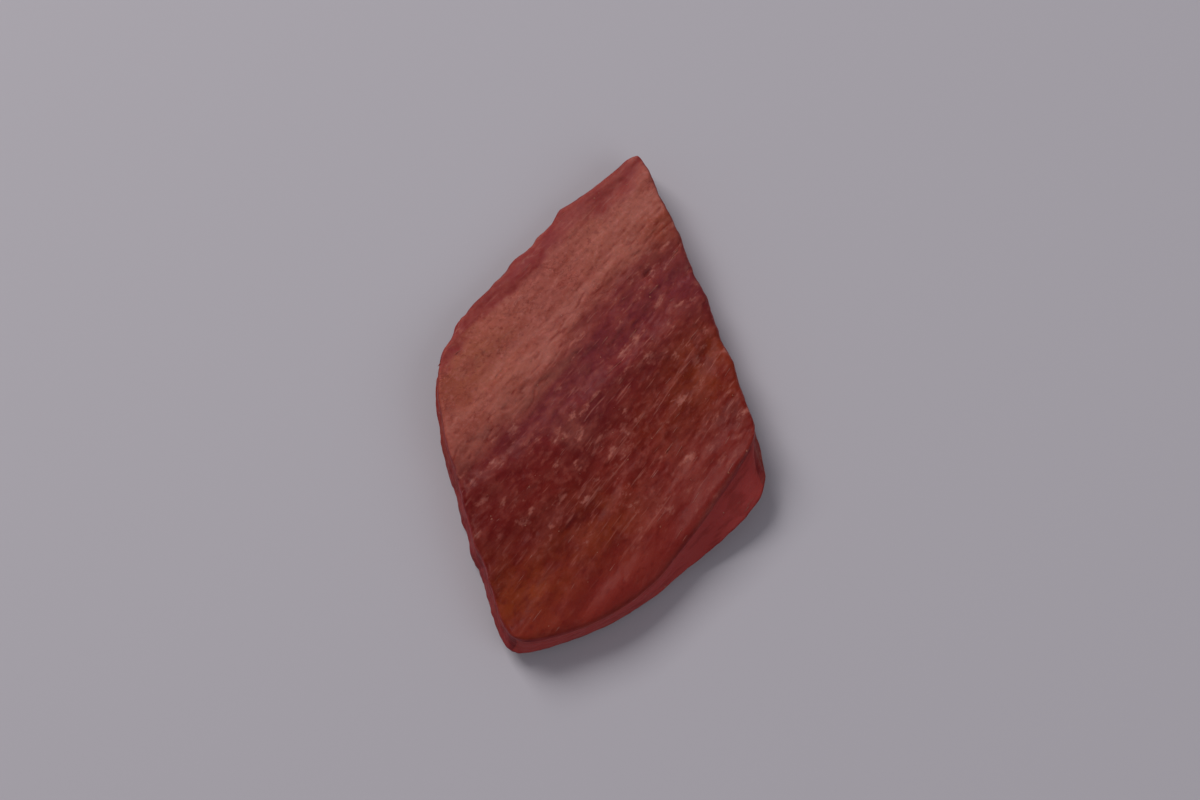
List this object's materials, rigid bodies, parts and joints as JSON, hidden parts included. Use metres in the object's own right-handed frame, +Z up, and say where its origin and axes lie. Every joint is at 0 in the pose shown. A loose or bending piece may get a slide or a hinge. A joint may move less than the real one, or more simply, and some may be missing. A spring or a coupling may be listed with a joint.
{
  "type": "dried papaya slice",
  "caption": "Leathery slab of dried papaya with cut sides, a soft fold and ridges along its strands, resting on a small flat spot of its underside.",
  "frame": {"origin": "on the surface that the slice rests on, under the middle of its box", "axes": "+Y towards the sharpest corner, the tip, along the longest way across; +X towards the rounded right corner; +Z up, through the thickness"},
  "size_m": [0.0439, 0.0681, 0.0076],
  "materials": {
    "dried_flesh": "leathery dried fruit flesh, dark red to burnt orange, half matt with small glossy places"
  },
  "bodies": {
    "root": {"papaya_slice": "dried_flesh"}
  },
  "joints": []
}
